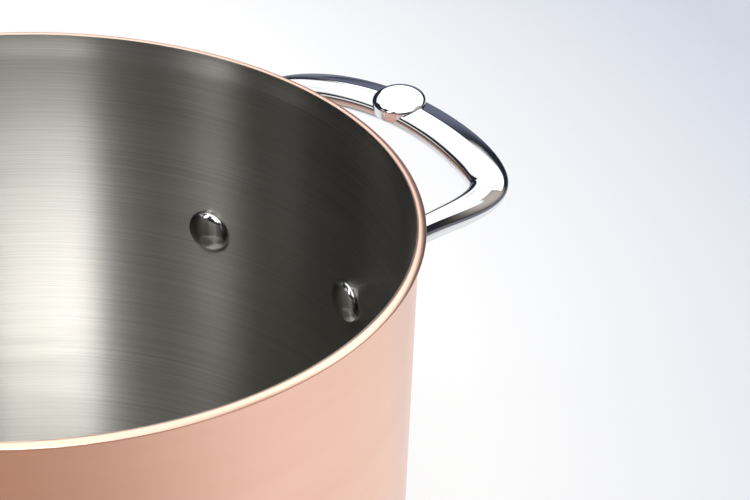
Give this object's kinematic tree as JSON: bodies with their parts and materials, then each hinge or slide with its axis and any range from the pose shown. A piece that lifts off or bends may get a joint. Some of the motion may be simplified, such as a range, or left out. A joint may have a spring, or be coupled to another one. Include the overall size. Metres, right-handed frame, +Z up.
{
  "type": "stockpot",
  "caption": "Tall round copper stockpot with a brushed steel lining, a flared pouring lip and riveted cast steel loop handles for lifting.",
  "frame": {"origin": "middle of the flat base, on the surface the pot stands on", "axes": "+Z up along the pot's axis, +X through the middle of the right handle, +Y to the rear"},
  "size_m": [0.3668, 0.2424, 0.2],
  "materials": {
    "copper": "satin copper sheet, finely brushed",
    "lining_steel": "stainless steel brushed round the pot",
    "cast_steel": "mirror polished cast stainless steel",
    "rivet_steel": "polished stainless steel"
  },
  "bodies": {
    "root": {"copper_body": "copper", "steel_lining": "lining_steel", "right_handle": "cast_steel", "left_handle": "cast_steel", "rivet_right_front": "rivet_steel", "rivet_right_rear": "rivet_steel", "rivet_left_front": "rivet_steel", "rivet_left_rear": "rivet_steel"}
  },
  "joints": []
}
